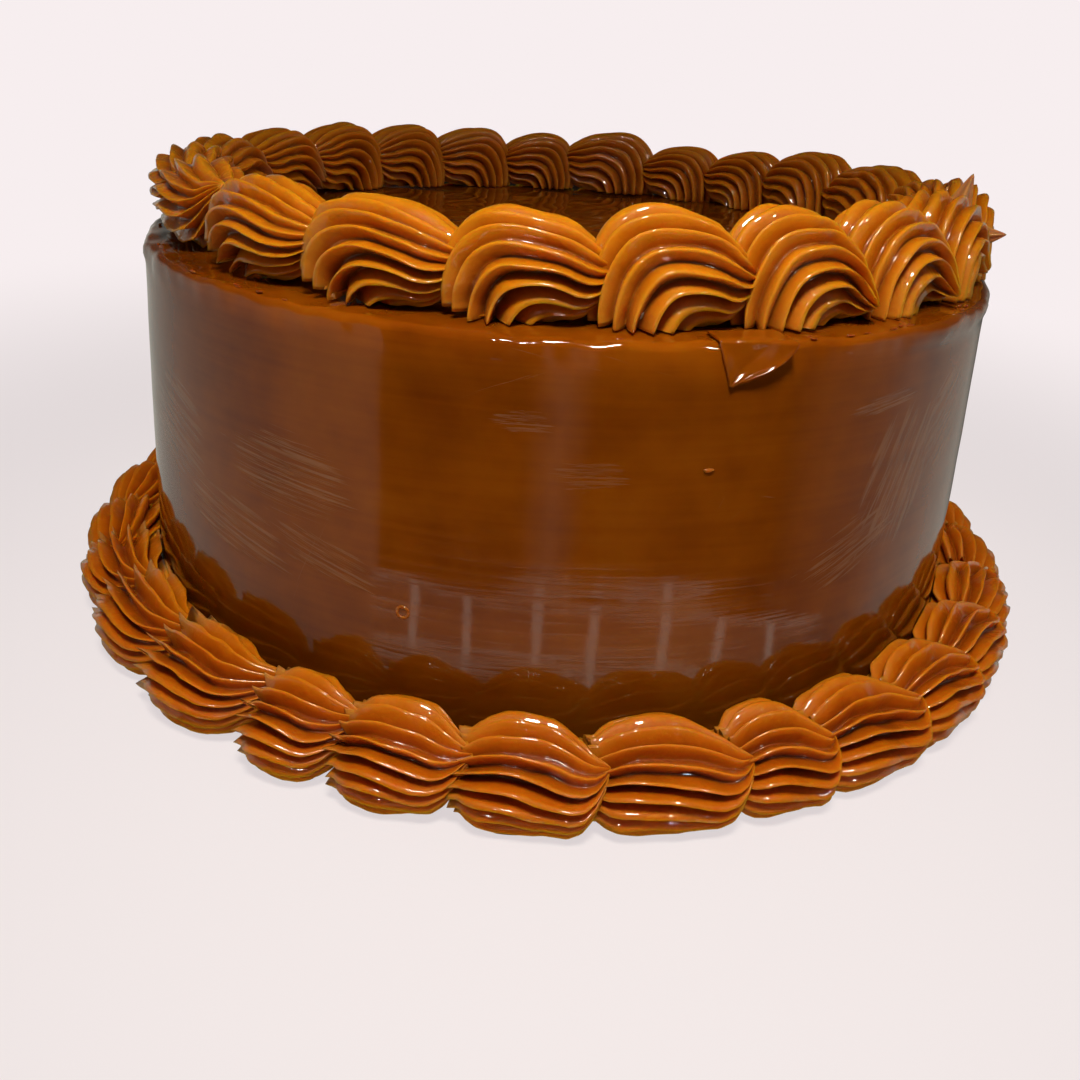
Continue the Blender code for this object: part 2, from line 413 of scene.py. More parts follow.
def spreadIcing():
    finish = icingFinish
    material, tree, surface = newMaterial("spreadIcing")
    place = objectPlace(tree)
    apart = nodeAt(tree, "SeparateXYZ", {"Vector": place}).outputs
    drawn = nodeAt(tree, "Mapping", {"Vector": place, "Scale": finish["streaks"]})
    streak = noiseAt(tree, drawn.outputs["Vector"], finish["streakScale"], 5, Distortion=0.25)
    cloud = placeGroup(tree, cloudyToneTree, Scale=26.0, Fine_Scale=120.0, Fine_Share=0.3)
    blend = nodeAt(tree, "Mix", {"Factor": finish["cloudShare"], "A": streak, "B": cloud})
    tones = [finish[key] for key in ("deep", "middle", "light")]
    colours = ramp(tree, blend.outputs["Result"], list(zip(finish["stops"], tones)))
    # the colours are darkened towards the foot of the wall: painted shade
    foot = rescale(tree, apart["Z"], *finish["paintedShadeEdge"], finish["paintedFootShade"], 1.0, "SMOOTHSTEP")
    level = nodeAt(tree, "CombineXYZ", {"X": apart["X"], "Y": apart["Y"]})
    reach = lengthOf(tree, level.outputs["Vector"])
    # and made lighter along the front of the rim: painted light
    outside = rescale(tree, reach, *finish["rimReach"], kind="SMOOTHSTEP")
    above = rescale(tree, apart["Z"], *finish["rimLevel"], kind="SMOOTHSTEP")
    front = rescale(tree, apart["Y"], *finish["rimFront"], kind="SMOOTHSTEP")
    rim = combine(tree, "MULTIPLY", outside, above)
    rim = combine(tree, "MULTIPLY", rim, front)
    rim = combine(tree, "MULTIPLY_ADD", rim, finish["paintedRimLight"] - 1, foot)
    shaded = nodeAt(tree, "VectorMath", {0: colours, "Scale": rim}, operation="SCALE")
    scrapesAndSheen = scrapeMarksAndSheen(tree)
    # the pale scrape tone is partly a painted reflection
    toneWithPaintedLight = mixColours(tree, scrapesAndSheen, shaded.outputs["Vector"], finish["scrapeSheenTone"])
    gloss = rescale(tree, streak, *finish["streakGloss"], *finish["roughness"])
    grain = placeGroup(tree, pasteGrainTree, Grain_Scale=240.0, Pit_Scale=110.0, Pit_Depth=0.4)
    height = combine(tree, "MULTIPLY_ADD", streak, finish["streakHeight"], grain)
    bump = bumpAt(tree, height, finish["grainHeight"])
    torn = bumpAt(tree, scrapesAndSheen, finish["scrapedHeight"], Normal=bump)
    feed(tree, surface, {"Base Color": toneWithPaintedLight, "Roughness": gloss, "Normal": torn, **finish["sockets"]})
    layOut(tree)
    return material


icingPaste = spreadIcing()
print("icing ready")


# iced drum: straight scraped wall, rounded rim that hangs over a little at one place

drumShape = {
    "height": 99.7 * mm,
    "rim": 112.6 * mm,
    "foot": 114.9 * mm,
    "rounding": 1.7 * mm,
    "lip": 1.3 * mm,
    "lipAngle": 322.0,
    "lipSpread": 26.0,
    "sides": 400,
    "rows": 64,
    "rings": (34, 3),          # across the top and the underside
    # unevenness: depth and size of the lumps
    "wallWaves": (0.16 * mm, 70 * mm),
    "wallStreaks": (0.020 * mm, 9 * mm),
    "footStreaks": (0.012 * mm, 8 * mm),
    "rimTears": [(0.30 * mm, 14 * mm), (0.16 * mm, 6 * mm)],
    "topWaves": [(0.35 * mm, 45 * mm), (0.12 * mm, 12 * mm)],
    "rimDents": (0.22 * mm, 11 * mm),
    "rimDrop": 0.15 * mm,
    "topLimit": 0.4 * mm,      # how far a lump may stand above the flat top
}


def relief(points, rng, *layers):
    return sum(depth * wobble(points, size, rng) for depth, size in layers)


def wallReach(level):
    return drumShape["foot"] - (drumShape["foot"] - drumShape["rim"]) * level / drumShape["height"]


def layRound(turn, reach, level):
    return np.stack([reach * np.cos(turn), reach * np.sin(turn), level], axis=1)


def mapWall(mesh, points):
    # wall map: metres round the wall from its front, and height. The seam is at the back
    corners = np.empty(len(mesh.loops), np.int32)
    mesh.loops.foreach_get("vertex_index", corners)
    counts = np.array([face.loop_total for face in mesh.polygons])
    faceOf = np.repeat(np.arange(len(counts)), counts)
    turn = np.arctan2(points[:, 0], -points[:, 1])[corners]
    high = np.full(len(counts), -10.0)
    low = np.full(len(counts), 10.0)
    np.maximum.at(high, faceOf, turn)
    np.minimum.at(low, faceOf, turn)
    turn = np.where(((high - low) > math.pi)[faceOf] & (turn < 0), turn + 2 * math.pi, turn)
    for layer in list(mesh.uv_layers):
        mesh.uv_layers.remove(layer)
    layer = mesh.uv_layers.new(name="wall")
    flat = np.stack([turn * drumRadius, points[corners, 2]], axis=1)
    layer.data.foreach_set("uv", flat.astype(np.float32).ravel())


def buildDrum():
    shape = drumShape
    bpy.ops.mesh.primitive_cylinder_add(
        vertices=shape["sides"], radius=shape["rim"], depth=shape["height"],
        location=(0, 0, shape["height"] / 2), end_fill_type="NGON")
    drum = newest("icedDrum")
    bpy.ops.object.transform_apply(location=True, rotation=False, scale=False)
    mode("EDIT")
    bpy.ops.mesh.select_mode(type="EDGE")
    bpy.ops.mesh.select_all(action="DESELECT")
    mode("OBJECT")
    for edge in drum.data.edges:
        first, second = (drum.data.vertices[index].co.z for index in edge.vertices)
        edge.select = min(first, second) > shape["height"] - 1e-5
    mode("EDIT")
    bpy.ops.mesh.bevel(offset=shape["rounding"], segments=8, profile=0.5, affect="EDGES")
    # rows up the wall
    for row in range(1, shape["rows"]):
        level = row / shape["rows"] * (shape["height"] - shape["rounding"])
        bpy.ops.mesh.select_all(action="SELECT")
        bpy.ops.mesh.bisect(plane_co=(0, 0, level), plane_no=(0, 0, 1))
    # rings across the top and the underside
    bpy.ops.mesh.select_mode(type="FACE")
    for high, rings in zip((True, False), shape["rings"]):
        bpy.ops.mesh.select_all(action="DESELECT")
        mode("OBJECT")
        for face in drum.data.polygons:
            face.select = len(face.vertices) > 100 and (face.center.z > 0.05) == high
        mode("EDIT")
        step = (shape["rim"] - shape["rounding"]) / (rings + 1)
        for _ in range(rings):
            bpy.ops.mesh.inset(thickness=step)
        bpy.ops.mesh.poke()
    mode("OBJECT")

    points = readPoints(drum)
    rng = np.random.default_rng(11)
    reach = np.hypot(points[:, 0], points[:, 1])
    turn = np.degrees(np.arctan2(points[:, 1], points[:, 0])) % 360
    level = points[:, 2] / shape["height"]
    outwards = points * [1, 1, 0] / np.maximum(reach, 1e-6)[:, None]
    onWall = smoothStep(shape["rim"] - 4 * mm, shape["rim"] - 0.5 * mm, reach)
    onTop = smoothStep(0.97, 0.999, level) * (1 - smoothStep(shape["rim"] - 6 * mm, shape["rim"] - 2 * mm, reach))
    # the wall leans out towards its foot, and the scraper left shallow steps on it
    push = (shape["foot"] - shape["rim"]) * (1 - level)
    away = (turn - shape["lipAngle"] + 180) % 360 - 180
    push += shape["lip"] * np.exp(-(away / shape["lipSpread"]) ** 2 * 2) * smoothStep(0.93, 0.985, level)
    push += relief(points, rng, shape["wallWaves"])
    push += relief(points * [0.30, 0.30, 1.0], rng, shape["wallStreaks"])
    depth, size = shape["footStreaks"]
    push += depth * wobble(points * [0.6, 0.6, 1.0], size, rng, 12) * (1 - smoothStep(0.25, 0.5, level))
    # the rim is a little torn
    onRim = smoothStep(0.93, 0.975, level) * smoothStep(shape["rim"] - 7 * mm, shape["rim"] - 2 * mm, reach)
    push += onRim * relief(points, rng, *shape["rimTears"])
    points += outwards * (push * onWall)[:, None]
    lift = relief(points, rng, *shape["topWaves"])
    points[:, 2] += lift * onTop + onRim * (relief(points, rng, shape["rimDents"]) - shape["rimDrop"])
    points[:, 2] = np.minimum(points[:, 2], shape["height"] + shape["topLimit"])
    writePoints(drum, points)
    mapWall(drum.data, points)
    finishPiece(drum, icingPaste, "icing", "cake")


buildDrum()
print("iced drum built")


# piped shells: a rope of star-shaped section that bends over its head and is drawn out to a tail

topShell = {
    "ring": 96.9 * mm,
    "sideways": 4.0 * mm,      # the ring runs nearer the edge at the two sides
    "halfWidth": 11.6 * mm,
    "ridges": 18,
    "columns": 180,
    "rows": 64,
    "capRows": 9,
    "curl": (0.90, -0.31),     # what the rope bends round: share of the pitch, share of the height
    "wrapShare": 0.62,         # share of the rope's length that bends
    # crest line seen from the side: share of the pitch from the head, share of the height
    "crest": [
        (-0.035, 0.0), (-0.055, 0.14), (-0.055, 0.30), (-0.035, 0.48), (0.0, 0.63), (0.05, 0.76), (0.11, 0.86),
        (0.19, 0.935), (0.28, 0.98), (0.38, 1.0), (0.48, 1.0), (0.58, 0.985), (0.69, 0.955), (0.80, 0.915),
        (0.92, 0.85), (1.02, 0.76), (1.10, 0.66), (1.18, 0.55), (1.22, 0.48),
    ],
    "under": [(0.0, 0.0), (0.90, 0.0), (0.98, 0.04), (1.05, 0.12), (1.12, 0.24), (1.18, 0.38), (1.22, 0.46)],
    # the same two lines for a shell whose head stands open
    "openCrest": [
        (-0.04, 0.84), (0.02, 0.90), (0.12, 0.96), (0.28, 1.0), (0.45, 0.99), (0.62, 0.95), (0.78, 0.89),
        (0.92, 0.84), (1.04, 0.82), (1.10, 0.80),
    ],
    "openUnder": [(-0.04, 0.05), (0.10, 0.0), (0.70, 0.0), (0.85, 0.08), (0.95, 0.28), (1.04, 0.52), (1.10, 0.72)],
    # half width along the rope
    "width": [
        (0.0, 0.90), (0.12, 0.98), (0.35, 1.0), (0.55, 0.98), (0.66, 0.93), (0.76, 0.83), (0.85, 0.67),
        (0.93, 0.45), (1.0, 0.08),
    ],
    "grooveHead": 0.32,
    "grooveBody": 0.25,
    "grooveTail": 0.22,
    "openGroove": 0.12,        # how much deeper the grooves of an open head are
    "sharp": 0.15,             # 0 is a round ridge, 1 a blade
    "sharpLow": 0.55,          # more of it low on the rope
    "sharpOpen": 0.20,         # and on an open head
    "innerSharp": 0.45,        # share of the low one on the side towards the middle of the cake
    "innerPaintedShade": 0.35,         # and how much darker in tone: painted shade on the inner side
    "ridgeUneven": 0.10,
    "tipReach": 0.035,         # how far the petal tips run on, share of the rope
    "tipTone": (0.06, 0.91),   # closed and open head
    "lean": 0.35,
    "swirl": -14.0,
    "spin": 4.0,               # random turn of the ridges, to either side
    "squareness": 0.82,        # 1 is round
    "rough": [(0.18 * mm, 9 * mm), (0.20 * mm, 8 * mm)],      # upright and sideways
    "footSpread": 1.3 * mm,    # how far the blades spread where they meet the cake
    # shells whose tails are tucked down and outwards, and by how much
    "tucked": {4: 0.12, 5: 0.85, 6: 1.0, 7: 0.9, 8: 0.6},
    "tuckDrop": 0.80,
    "tuckAside": 0.58,
    "tuckShort": 0.13,         # share of the pitch by which a tucked tail is shorter
    "headShift": {22: 0.06, 1: 0.16},          # share of the pitch
    # degrees by which a head curls under and stands clear of the cake
    "lift": {1: 10, 2: 11, 3: 8, 4: 6, 5: 5, 6: 5, 7: 4, 8: 4},
    "usualLift": 2,
    # shells whose heads stand open, and by how much
    "open": {20: 0.75, 21: 0.95, 22: 1.0, 1: 0.35, 2: 0.08, 19: 0.5},
    "wideOpen": 0.6,           # past this a head has fewer ridges
    "lostRidges": 3,
}


def crestProfile(phase, sharp, lean):
    # 1 on a ridge and 0 in a groove. Sharp 0 is a round ridge, sharp 1 a blade with a hollow between
    warped = phase + lean * np.sin(phase) * 0.5
    half = np.abs(np.cos(warped / 2))
    blade = 1 - np.abs(np.sin(warped / 2))
    return (1 - sharp) * half + sharp * blade


def unevenRound(around, rng):
    # no two ridges of a shell are quite alike
    total = np.zeros(len(around))
    for waves in (2, 3, 5, 7, 8):
        total += rng.normal() * np.sin(waves * around + rng.uniform(0, 2 * math.pi))
    return total / 1.6


def spanOf(node):
    points = readPoints(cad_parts[node])
    low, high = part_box(node)
    middle = math.atan2((low.y + high.y) / 2, (low.x + high.x) / 2)
    turns = (np.arctan2(points[:, 1], points[:, 0]) - middle + math.pi) % (2 * math.pi) - math.pi
    return middle + turns.min(), middle + turns.max(), low.z, high.z - low.z


def ropeGrid(shape, name):
    # a ball whose poles are the two ends of the rope, with each point's row, its turn round the rope,
    # that turn to either side of the crest, and its shares of the cap and of the rope behind it
    rows, capRows = shape["rows"], shape["capRows"]
    piece, share, around = newBall(name, shape["columns"], rows)
    row = np.rint(share * rows).astype(int)
    around = around % (2 * math.pi)
    side = np.where(around > math.pi, around - 2 * math.pi, around)
    capShare = np.clip(row / capRows, 0, 1) ** 0.8
    return piece, row, around, side, capShare, np.clip((row - capRows) / (rows - capRows), 0, 1)


def grooveDepth(shape, toHead, toTail, extra=0.0):
    depth = shape["grooveBody"] + (shape["grooveHead"] + extra - shape["grooveBody"]) * toHead
    return depth + (shape["grooveTail"] - depth) * toTail


def roughen(shape, along, lateral, level, rng):
    body = np.stack([along, lateral, level], axis=1)
    upright, sideways = shape["rough"]
    level = level + relief(body, rng, upright)
    return lateral + relief(body, rng, sideways), level


def bentLines(shape, share, pitch, height, lift):
    # inner and outer point of the section at each share of the rope, in the plane of the bend
    crest = np.array(shape["crest"]) * [pitch, height]
    under = np.array(shape["under"]) * [pitch, height]
    curl = np.array(shape["curl"]) * [pitch, height]
    fromCurl = crest - curl
    bearing = np.degrees(np.arctan2(fromCurl[:, 1], fromCurl[:, 0]))
    headTurn = bearing[0] - lift
    bend = headTurn - (headTurn - 90.0) * np.clip(share / shape["wrapShare"], -0.2, 1)
    order = np.argsort(bearing)
    reach = np.interp(bend, bearing[order], np.hypot(*fromCurl.T)[order])
    direction = np.stack([np.cos(np.radians(bend)), np.sin(np.radians(bend))], axis=1)
    outerBend = curl + direction * reach[:, None]
    innerBend = curl - direction * curl[1]
    tail = np.clip((share - shape["wrapShare"]) / (1 - shape["wrapShare"]), 0, 1)
    along = curl[0] + (crest[-1, 0] - curl[0]) * tail
    outerTail = np.stack([along, np.interp(along, *crest.T)], axis=1)
    innerTail = np.stack([along, np.interp(along, *under.T)], axis=1)
    inTail = (tail > 0)[:, None]
    return np.where(inTail, innerTail, innerBend), np.where(inTail, outerTail, outerBend)


def openLines(shape, share, pitch, height):
    crest = np.array(shape["openCrest"]) * [pitch, height]
    under = np.array(shape["openUnder"]) * [pitch, height]
    along = crest[0, 0] + (crest[-1, 0] - crest[0, 0]) * share
    return tuple(np.stack([along, np.interp(along, *line.T)], axis=1) for line in (under, crest))


def buildTopShell(node, index):
    shape = topShell
    rng = np.random.default_rng(100 + index)
    start, end, ground, height = spanOf(node)
    middle = (start + end) / 2
    ring = shape["ring"] + shape["sideways"] * abs(math.cos(middle)) ** 5
    pitch = (end - start) * ring
    piece, row, around, side, capShare, share = ropeGrid(shape, node.replace("top_shell", "topPiped"))
    openness = shape["open"].get(index, 0.0)
    behindCap = row >= shape["capRows"]

    # the ridges lie along the columns of the mesh, and the columns swirl towards the tail
    ridges = shape["ridges"] - (shape["lostRidges"] if openness > shape["wideOpen"] else 0)
    phase = ridges * around
    swirl = math.radians(shape["swirl"] * (1 - openness)) * smoothStep(0.2, 1.0, share) * np.sin(around) ** 2
    turned = around - swirl + math.radians(rng.uniform(-shape["spin"], shape["spin"]))
    # ridges are sharper low on the rope
    low = smoothStep(math.radians(40), math.radians(115), np.abs(side))
    low = low * np.where(side < 0, shape["innerSharp"], 1.0)
    sharp = shape["sharp"] + shape["sharpLow"] * low + shape["sharpOpen"] * openness * (1 - low)
    profile = crestProfile(phase, sharp, shape["lean"] * np.sign(side))
    uneven = unevenRound(around, rng)
    toHead = 1 - smoothStep(0.0, 0.22, share)
    depth = grooveDepth(shape, toHead, smoothStep(0.55, 0.95, share), shape["openGroove"] * openness)
    depth = depth * (1 + shape["ridgeUneven"] * uneven) * (1 + 0.35 * low)
    swell = (1 - depth * (1 - profile)) * capShare

    # petal tips run on past the grooves at the head
    tips = (np.sqrt(profile) + 0.25 * uneven) * toHead * behindCap
    reached = share - shape["tipReach"] * (1 + openness) * tips
    lift = shape["lift"].get(index, shape["usualLift"])
    innerBent, outerBent = bentLines(shape, reached, pitch, height, lift)
    innerOpen, outerOpen = openLines(shape, reached, pitch, height)
    inner = innerBent + (innerOpen - innerBent) * openness
    outer = outerBent + (outerOpen - outerBent) * openness
    centre, half = (inner + outer) / 2, (outer - inner) / 2
    halfWidth = shape["halfWidth"] * np.interp(share, *np.array(shape["width"]).T)
    upright, aside = np.cos(turned), np.sin(turned)
    flat = centre + half * (upright * swell)[:, None]
    # squarer than a round rope, because the paste settled
    lateral = halfWidth * np.sign(aside) * np.abs(aside) ** shape["squareness"] * swell
    hollow = (1 - capShare) * (0.10 + 0.12 * openness) * pitch
    along, level = flat[:, 0] + hollow, flat[:, 1]

    along = along + shape["headShift"].get(index, 0.0) * pitch * (1 - smoothStep(0.0, 0.7, share))
    tucked = shape["tucked"].get(index, 0.0) * smoothStep(0.46, 0.98, share)
    along = along - shape["tuckShort"] * pitch * tucked
    level = level * (1 - shape["tuckDrop"] * tucked)
    lateral = lateral + shape["tuckAside"] * shape["halfWidth"] * tucked
    lateral, level = roughen(shape, along, lateral, level, rng)
    # blades spread a little where they meet the cake, and the grooves stay undercut
    atFoot = 1 - smoothStep(0, 3.5 * mm, level)
    lateral = lateral + np.sign(side) * atFoot * (profile - 0.55) * shape["footSpread"] * smoothStep(0, 0.1, share)
    level = np.maximum(level, 0.05 * mm)
    writePoints(piece, layRound(start + along / ring, ring + lateral, ground + level))
    # tone: deep in the grooves and in the hollow head, painted shade, and deeper still on the inner side towards
    # the middle of the cake, more painted shade
    innerShading = 1 - shape["innerPaintedShade"] * smoothStep(0.2, 0.7, -np.sin(side))
    groove = np.clip(profile, 0, 1) * smoothStep(0, shape["capRows"], row) * innerShading
    # the petal tips are painted paler: partly drier paste, partly painted light from behind
    closedTone, openTone = shape["tipTone"]
    tipTone = closedTone + (openTone - closedTone) * openness ** 2
    toTip = 1 - smoothStep(0.04, 0.26, share)
    writeTones(piece, groove, np.clip(toTip * (0.15 + profile), 0, 1) * behindCap * tipTone)
    finishPiece(piece, topPaste, "top_paste", node)


for index in range(1, 23):
    buildTopShell(f"top_shell_{index:02d}", index)
print("top border built")


baseShell = {
    "ring": 122.6 * mm,
    "halfWidth": 12.9 * mm,
    "ridges": 17,
    "columns": 187,
    "rows": 60,
    "capRows": 10,
    # share of the pitch from the head, then crest, underside and half width as shares
    "outline": [
        (0.00, 0.80, 0.10, 0.70), (0.06, 0.87, 0.05, 0.83), (0.14, 0.93, 0.02, 0.93), (0.28, 0.985, 0.0, 0.99),
        (0.42, 1.0, 0.0, 1.0), (0.56, 0.985, 0.0, 0.99), (0.68, 0.95, 0.01, 0.95), (0.80, 0.90, 0.03, 0.86),
        (0.90, 0.85, 0.10, 0.71), (0.98, 0.80, 0.24, 0.50), (1.05, 0.76, 0.48, 0.25), (1.10, 0.72, 0.66, 0.03),
    ],
    # the same for a head that stands open
    "openHead": [(0.00, 0.92, 0.04, 0.94), (0.06, 0.96, 0.02, 1.0), (0.14, 0.985, 0.01, 1.02)],
    # and for its tail, which is narrow, so that the next head's petals show
    "openTail": [
        (0.42, 0.98, 0.0, 0.93), (0.56, 0.95, 0.03, 0.80), (0.68, 0.91, 0.10, 0.63), (0.80, 0.86, 0.23, 0.44),
        (0.90, 0.82, 0.38, 0.29), (0.98, 0.79, 0.52, 0.18), (1.05, 0.77, 0.64, 0.10), (1.10, 0.75, 0.71, 0.02),
    ],
    # the tail's tip lies to one side of the next head: outwards behind a closed head, share of the half width,
    # and by how many times that share it moves inwards as the head opens
    "tailAside": 0.42,
    "openAside": 1.9,
    # how far the heads stand open, by their turn: fully before the open edge and not at all past it, less
    # where the border runs out of sight, and drawn at random at the back
    "seenTurns": (150, 345),
    "openEdge": (226, 266),
    "hiddenEdge": (190, 206),
    "hiddenShare": 0.3,
    "hiddenOpenness": (0.05, 0.4),
    "grooveHead": 0.56,
    "grooveBody": 0.42,
    "grooveTail": 0.34,
    "tipReach": (0.07, 0.17),  # closed and open head, share of the pitch
    "sharp": 0.44,
    "sharpLow": 0.22,
    "sharpOpen": 0.30,
    "ridgeUneven": 0.08,
    "lean": 0.9,
    "swirl": 16.0,
    "spin": 5.0,
    "squareness": 0.42,        # how much squarer the rope is below
    "rough": [(0.18 * mm, 9 * mm), (0.18 * mm, 8 * mm)],
    "film": 1.7 * mm,          # how far the paste has spread at the foot
}


def opennessOf(shape, turn, rng):
    first, last = shape["seenTurns"]
    if not first < turn < last:
        return float(rng.uniform(*shape["hiddenOpenness"]))
    hidden = shape["hiddenShare"] + (1 - shape["hiddenShare"]) * smoothStep(*shape["hiddenEdge"], turn)
    return float((1 - smoothStep(*shape["openEdge"], turn)) * hidden)


def buildBaseShell(node, index):
    shape = baseShell
    rng = np.random.default_rng(300 + index)
    start, end, ground, height = spanOf(node)
    ring = shape["ring"]
    pitch = (end - start) * ring
    piece, row, around, side, capShare, bodyShare = ropeGrid(shape, node.replace("base_shell", "basePiped"))
    rows, capRows = shape["rows"], shape["capRows"]
    behindCap = row >= capRows
    openness = opennessOf(shape, math.degrees(start) % 360, rng)
    outline = np.array(shape["outline"])
    openHead = np.array(shape["openHead"])
    openTail = np.array(shape["openTail"])
    outline[:len(openHead)] += (openHead - outline[:len(openHead)]) * openness
    outline[-len(openTail):] += (openTail - outline[-len(openTail):]) * openness
    tipReach = shape["tipReach"][0] + (shape["tipReach"][1] - shape["tipReach"][0]) * openness
    alongShare = outline[0, 0] + (outline[-1, 0] - outline[0, 0]) * bodyShare ** 1.1

    phase = shape["ridges"] * around
    swirl = np.radians(shape["swirl"]) * np.sin(2 * math.pi * bodyShare) * 0.5 * np.sin(around) ** 2
    turned = around - swirl + math.radians(rng.uniform(-shape["spin"], shape["spin"]))
    low = smoothStep(math.radians(30), math.radians(110), np.abs(side))
    sharp = shape["sharp"] + shape["sharpOpen"] * openness + shape["sharpLow"] * low
    profile = crestProfile(phase, sharp, shape["lean"] * np.sign(side))
    uneven = unevenRound(around, rng)
    toHead = 1 - smoothStep(capRows, capRows + 16, row)
    depth = grooveDepth(shape, toHead, smoothStep(rows - 24, rows - 3, row))
    swell = (1 - depth * (1 + shape["ridgeUneven"] * uneven) * (1 - profile)) * capShare

    alongShare = alongShare - tipReach * (np.sqrt(profile) + 0.25 * uneven) * toHead * behindCap
    crest, under, width = (
        np.interp(alongShare, outline[:, 0], outline[:, column]) * size
        for column, size in ((1, height), (2, height), (3, shape["halfWidth"])))
    along = alongShare * pitch + (1 - capShare) * 0.20 * pitch
    upright, aside = np.cos(turned), np.sin(turned)
    # squarer below than a round rope, because the paste settled
    square = 1 - shape["squareness"] * np.clip(-upright * 1.4, 0, 1)
    spread = 1 + 0.10 * openness * toHead * profile
    level = (crest + under) / 2 + (crest - under) / 2 * upright * swell * spread
    lateral = width * np.sign(aside) * np.abs(aside) ** square * swell
    tailAside = shape["tailAside"] * (1 - shape["openAside"] * openness)
    lateral = lateral + tailAside * shape["halfWidth"] * smoothStep(0.60, 1.1, alongShare)
    lateral, level = roughen(shape, along, lateral, level, rng)
    level = np.maximum(level, 0.05 * mm)
    film = (1 - smoothStep(0.2 * mm, 1.5 * mm, level)) * (side > 0) * smoothStep(0.05, 0.3, bodyShare)
    lateral = lateral + film * shape["film"] * (0.75 + 0.25 * np.sin(9 * alongShare + index))
    reach = np.maximum(ring + lateral, wallReach(level) + 0.1 * mm)
    writePoints(piece, layRound(start + along / ring, reach, ground + level))
    # tone: deep in the grooves, in the hollow head and on the film at the foot under the shell, painted shade; the
    # petal tips paler, partly drier paste and partly painted light from behind
    groove = np.clip(profile, 0, 1) * smoothStep(0, capRows, row) * (1 - 0.8 * film)
    tip = np.clip(toHead * (profile - 0.55) * 1.2, 0, 1) * behindCap
    writeTones(piece, groove, tip * (0.1 + 0.4 * openness))
    finishPiece(piece, basePaste, "base_paste", node)


for index in range(1, 31):
    buildBaseShell(f"base_shell_{index:02d}", index)
print("base border built")


# torn leaf of icing that hangs from the rim

leafShape = {
    "start": 285.4,            # degrees, left and right ends of its root
    "end": 293.1,
    "tip": (286.9, 91.3 * mm),
    "rootLevel": 100.2 * mm,
    "rootShare": 0.16,         # share of its length that lies on top of the rim
    "rootDepth": 6.5 * mm,
    "stand": 3.6 * mm,         # how far its free edge stands off the wall
    "tipStand": 0.8 * mm,
    "rootSink": 0.2 * mm,
    "sag": 0.9 * mm,
    "cup": 0.7 * mm,
    "ripples": (0.15 * mm, 4 * mm),
    "thickness": 0.8 * mm,
}


def buildLeaf():
    shape = leafShape
    bpy.ops.mesh.primitive_grid_add(x_subdivisions=26, y_subdivisions=30, size=1.0)
    leaf = newest("tornLeaf")
    points = readPoints(leaf)
    across, down = points[:, 0] + 0.5, 0.5 - points[:, 1]
    hang = np.clip((down - shape["rootShare"]) / (1 - shape["rootShare"]), 0, 1)
    onTop = 1 - np.clip(down / shape["rootShare"], 0, 1)
    rootTurn = shape["start"] + (shape["end"] - shape["start"]) * across
    turn = rootTurn + (shape["tip"][0] - rootTurn) * hang ** 1.1 + 1.2 * across * np.sin(math.pi * hang)
    level = shape["rootLevel"] + (shape["tip"][1] - shape["rootLevel"]) * hang
    level = level - shape["sag"] * across * hang * (1 - hang)
    # the right edge is folded out like a petal, and the body is hollow
    stand = -shape["rootSink"] + shape["stand"] * across ** 2.3 * (1 - hang) ** 0.7 * (1 - onTop)
    stand = stand + shape["tipStand"] * hang
    stand = stand - shape["cup"] * np.sin(math.pi * across) * np.sin(math.pi * hang) - shape["rootDepth"] * onTop
    rng = np.random.default_rng(31)
    reach = wallReach(level) + stand + relief(points * 9 * mm, rng, shape["ripples"])
    writePoints(leaf, layRound(np.radians(turn), reach, level))
    thick = leaf.modifiers.new("thickness", "SOLIDIFY")
    thick.thickness = shape["thickness"]
    thick.offset = 0
    bpy.ops.object.modifier_apply(modifier=thick.name)
    smooth = leaf.modifiers.new("smooth", "SUBSURF")
    smooth.levels = smooth.render_levels = 1
    bpy.ops.object.modifier_apply(modifier=smooth.name)
    finishPiece(leaf, icingPaste, "icing")


buildLeaf()


# strands pulled out of the uneven shell: turn in degrees, reach and height in mm of root and of tip,
# then the root's half width in mm

pulledStrands = [
    ((338.0, 100.0, 109.5), (341.0, 104.0, 126.2), 7.4),
    ((338.6, 104.0, 111.5), (337.6, 114.0, 113.4), 5.4),
    ((343.5, 98.0, 113.5), (346.0, 100.8, 123.6), 5.2),
]
strandShape = {
    "columns": 28,
    "rows": 26,
    "ridges": 5,
    "ridgeDepth": 0.16,
    "sag": 1.6 * mm,
    "flatness": 0.75,
}


def spot(turn, reach, level):
    turn = math.radians(turn)
    return np.array([reach * math.cos(turn), reach * math.sin(turn), level]) * mm


def buildStrand(count, root, tip, half):
    shape = strandShape
    piece, share, around = newBall(f"pulledStrand_{count}", shape["columns"], shape["rows"])
    ridges = np.cos(shape["ridges"] * around)
    root, tip = spot(*root), spot(*tip)
    axis = (tip - root) / np.linalg.norm(tip - root)
    first = np.cross(axis, [0.0, 0.3, 1.0])
    first /= np.linalg.norm(first)
    second = np.cross(axis, first)
    thick = half * mm * (0.03 + share ** 0.95) * np.sqrt(np.clip(1 - share ** 8, 0, 1))
    thick = thick * (1 + shape["ridgeDepth"] * ridges) * np.sqrt(np.clip(share * 30, 0, 1))
    middle = tip + (root - tip) * share[:, None] - first * (shape["sag"] * np.sin(math.pi * share))[:, None]
    across = np.cos(around)[:, None] * first + shape["flatness"] * np.sin(around)[:, None] * second
    writePoints(piece, middle + thick[:, None] * across)
    # deep tone in the strand's grooves, painted shade, and paler towards its tip, partly painted light
    writeTones(piece, 0.55 + 0.35 * ridges, 0.5 * (1 - share))
    finishPiece(piece, topPaste, "top_paste")


for count, (root, tip, half) in enumerate(pulledStrands, 1):
    buildStrand(count, root, tip, half)


# torn bits along the rim, a fleck and a burst bubble on the wall

